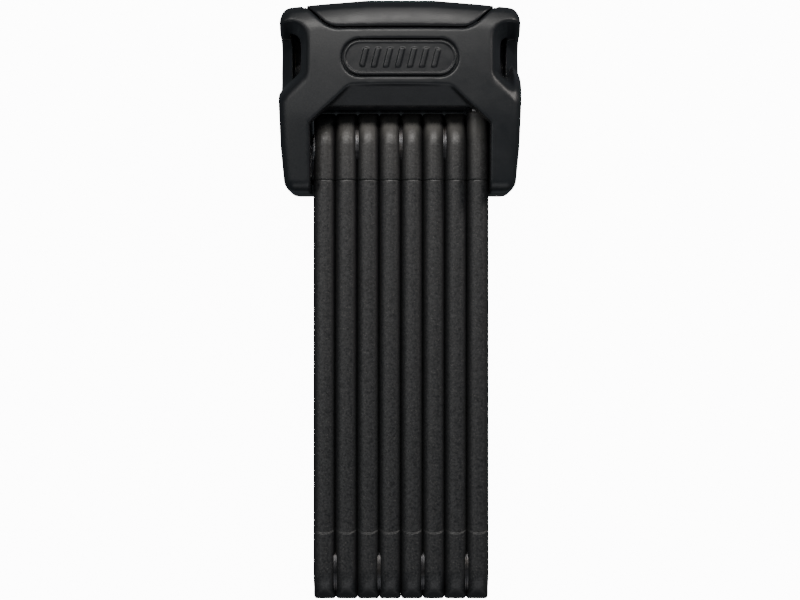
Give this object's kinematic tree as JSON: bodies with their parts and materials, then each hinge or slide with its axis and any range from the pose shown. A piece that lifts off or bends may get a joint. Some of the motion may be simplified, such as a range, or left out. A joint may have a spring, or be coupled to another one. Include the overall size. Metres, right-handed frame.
{
  "type": "folding bike lock",
  "caption": "Folding bike lock stored flat: riveted coated steel links hang side by side from a plastic-cased body with a key cylinder and a bolt.",
  "frame": {"origin": "middle of the folded lock's bounding box at its back face, which lies on the ground", "axes": "+X along the link rivets from the keyhole side to the bolt side, +Y from the links to the top of the body, +Z out of the front face"},
  "size_m": [0.0744, 0.1864, 0.035],
  "materials": {
    "body_plastic": "satin moulded black plastic, fine texture, a little worn on the edges",
    "badge_plastic": "smooth black plastic, semi-gloss",
    "link_coat": "black protective coat with a fine speckle, smoother end zones",
    "core_steel": "hardened steel, ground and oiled",
    "rivet_steel": "dark turned steel",
    "bright_steel": "bright turned steel",
    "case_steel": "sintered and tumbled steel",
    "cylinder_brass": "machined brass",
    "screw_black": "black oxide"
  },
  "bodies": {
    "root": {"front_shell": "body_plastic", "rear_shell": "body_plastic", "top_cap": "body_plastic", "badge_plate": "badge_plastic", "steel_frame": "case_steel", "frame_rivet": "rivet_steel", "lock_case": "case_steel", "cylinder_housing": "cylinder_brass", "guard_ring": "bright_steel", "bolt_socket": "bright_steel", "shell_screw_1": "screw_black", "shell_screw_2": "screw_black", "shell_screw_3": "screw_black", "shell_screw_4": "screw_black"},
    "link_1": {"link_1_core": "core_steel", "link_1_sleeve": "link_coat", "frame_spacer": "bright_steel", "washer_1a": "bright_steel", "rivet_1": "rivet_steel"},
    "link_2": {"link_2_core": "core_steel", "link_2_sleeve": "link_coat", "washer_1b": "bright_steel", "washer_2a": "bright_steel", "rivet_2": "rivet_steel"},
    "link_3": {"link_3_core": "core_steel", "link_3_sleeve": "link_coat", "washer_2b": "bright_steel", "washer_3a": "bright_steel", "rivet_3": "rivet_steel"},
    "link_4": {"link_4_core": "core_steel", "link_4_sleeve": "link_coat", "washer_3b": "bright_steel", "washer_4a": "bright_steel", "rivet_4": "rivet_steel"},
    "link_5": {"link_5_core": "core_steel", "link_5_sleeve": "link_coat", "washer_4b": "bright_steel", "washer_5a": "bright_steel", "rivet_5": "rivet_steel"},
    "link_6": {"link_6_core": "core_steel", "link_6_sleeve": "link_coat", "washer_5b": "bright_steel", "washer_6a": "bright_steel", "rivet_6": "rivet_steel"},
    "link_7": {"link_7_core": "core_steel", "link_7_sleeve": "link_coat", "washer_6b": "bright_steel", "washer_7a": "bright_steel", "rivet_7": "rivet_steel"},
    "link_8": {"link_8_core": "core_steel", "link_8_sleeve": "link_coat", "washer_7b": "bright_steel"},
    "rotor": {"cylinder_rotor": "cylinder_brass", "rotor_clip": "bright_steel", "drive_cam": "bright_steel"},
    "bolt": {"locking_bolt": "bright_steel", "bolt_pin": "bright_steel"},
    "shutter": {"keyhole_shutter": "bright_steel"}
  },
  "joints": [
    {"name": "link_1_hinge", "type": "hinge", "parent": "root", "child": "link_1", "pos_m": [0, 0.0474, 0.012], "axis": [-1, 0, 0], "range_deg": [0, 75]},
    {"name": "link_2_hinge", "type": "hinge", "parent": "link_1", "child": "link_2", "pos_m": [0, -0.0824, 0.012], "axis": [-1, 0, 0], "range_deg": [0, 195]},
    {"name": "link_3_hinge", "type": "hinge", "parent": "link_2", "child": "link_3", "pos_m": [0, 0.0474, 0.012], "axis": [-1, 0, 0], "range_deg": [0, 75]},
    {"name": "link_4_hinge", "type": "hinge", "parent": "link_3", "child": "link_4", "pos_m": [0, -0.0824, 0.012], "axis": [-1, 0, 0], "range_deg": [0, 195]},
    {"name": "link_5_hinge", "type": "hinge", "parent": "link_4", "child": "link_5", "pos_m": [0, 0.0474, 0.012], "axis": [-1, 0, 0], "range_deg": [0, 75]},
    {"name": "link_6_hinge", "type": "hinge", "parent": "link_5", "child": "link_6", "pos_m": [0, -0.0824, 0.012], "axis": [-1, 0, 0], "range_deg": [0, 195]},
    {"name": "link_7_hinge", "type": "hinge", "parent": "link_6", "child": "link_7", "pos_m": [0, 0.0474, 0.012], "axis": [-1, 0, 0], "range_deg": [0, 75]},
    {"name": "link_8_hinge", "type": "hinge", "parent": "link_7", "child": "link_8", "pos_m": [0, -0.0824, 0.012], "axis": [-1, 0, 0], "range_deg": [0, 195]},
    {"name": "key_turn", "type": "hinge", "parent": "root", "child": "rotor", "pos_m": [-0.029, 0.0748, 0.0175], "axis": [1, 0, 0], "range_deg": [0, 90]},
    {"name": "bolt_slide", "type": "slide", "parent": "root", "child": "bolt", "axis": [1, 0, 0], "range_m": [0, 0.0092]},
    {"name": "shutter_hinge", "type": "hinge", "parent": "rotor", "child": "shutter", "pos_m": [-0.0281, 0.0748, 0.01845], "axis": [0, -1, 0], "range_deg": [0, 80], "stiffness_Nm_per_rad": 0.00002}
  ],
  "couplings": [
    {"joint": "key_turn", "follows": "bolt_slide", "rad_per_m": 170.74}
  ]
}
